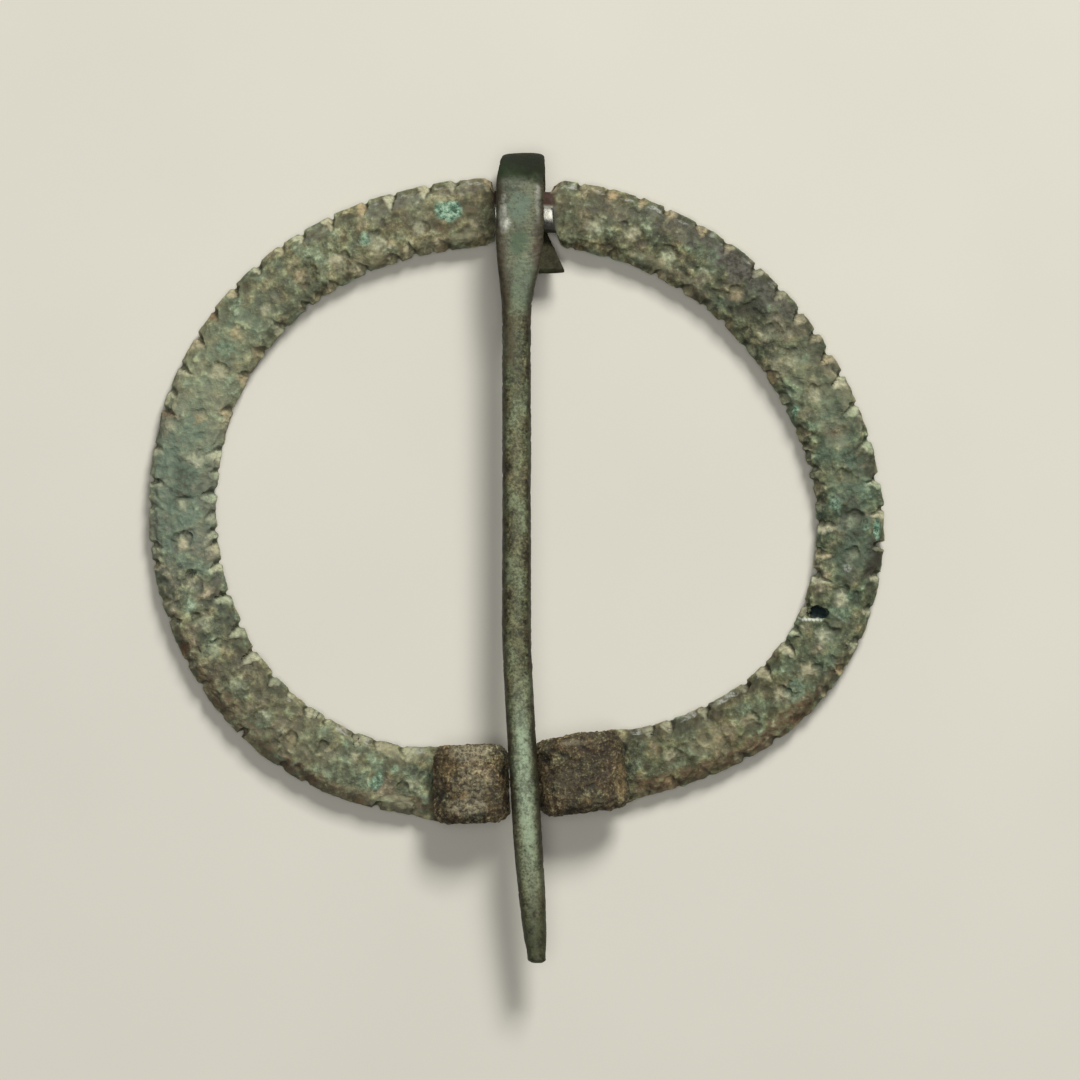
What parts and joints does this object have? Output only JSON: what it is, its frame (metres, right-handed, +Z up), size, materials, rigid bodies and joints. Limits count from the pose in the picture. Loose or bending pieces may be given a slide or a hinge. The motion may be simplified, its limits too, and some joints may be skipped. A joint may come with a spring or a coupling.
{
  "type": "penannular brooch",
  "caption": "Oval penannular brooch (ring buckle): a flat hoop with nicked edges and rolled ends, and a long straight pin whose head is wrapped round a narrow neck of the hoop.",
  "frame": {"origin": "centre of the whole brooch's box, on the surface it lies on, with the pin at rest over the rolled ends", "axes": "+Z up out of the decorated face, +Y from the pin's tip to its looped head, +X to the right seen from above"},
  "size_m": [0.0502, 0.055, 0.0054],
  "materials": {
    "hoop_metal": "old copper alloy under a grainy olive-grey and tan crust, with blue-green patches",
    "pin_metal": "old copper alloy under a thin, even grey-green patina, half matt"
  },
  "bodies": {
    "hoop": {"hoop": "hoop_metal"},
    "pin": {"pin": "pin_metal"}
  },
  "joints": [
    {"name": "pin_swing", "type": "hinge", "parent": "hoop", "child": "pin", "pos_m": [0.00022, 0.02361, 0.00232], "axis": [-1, 0, 0], "range_deg": [0, 165]}
  ]
}
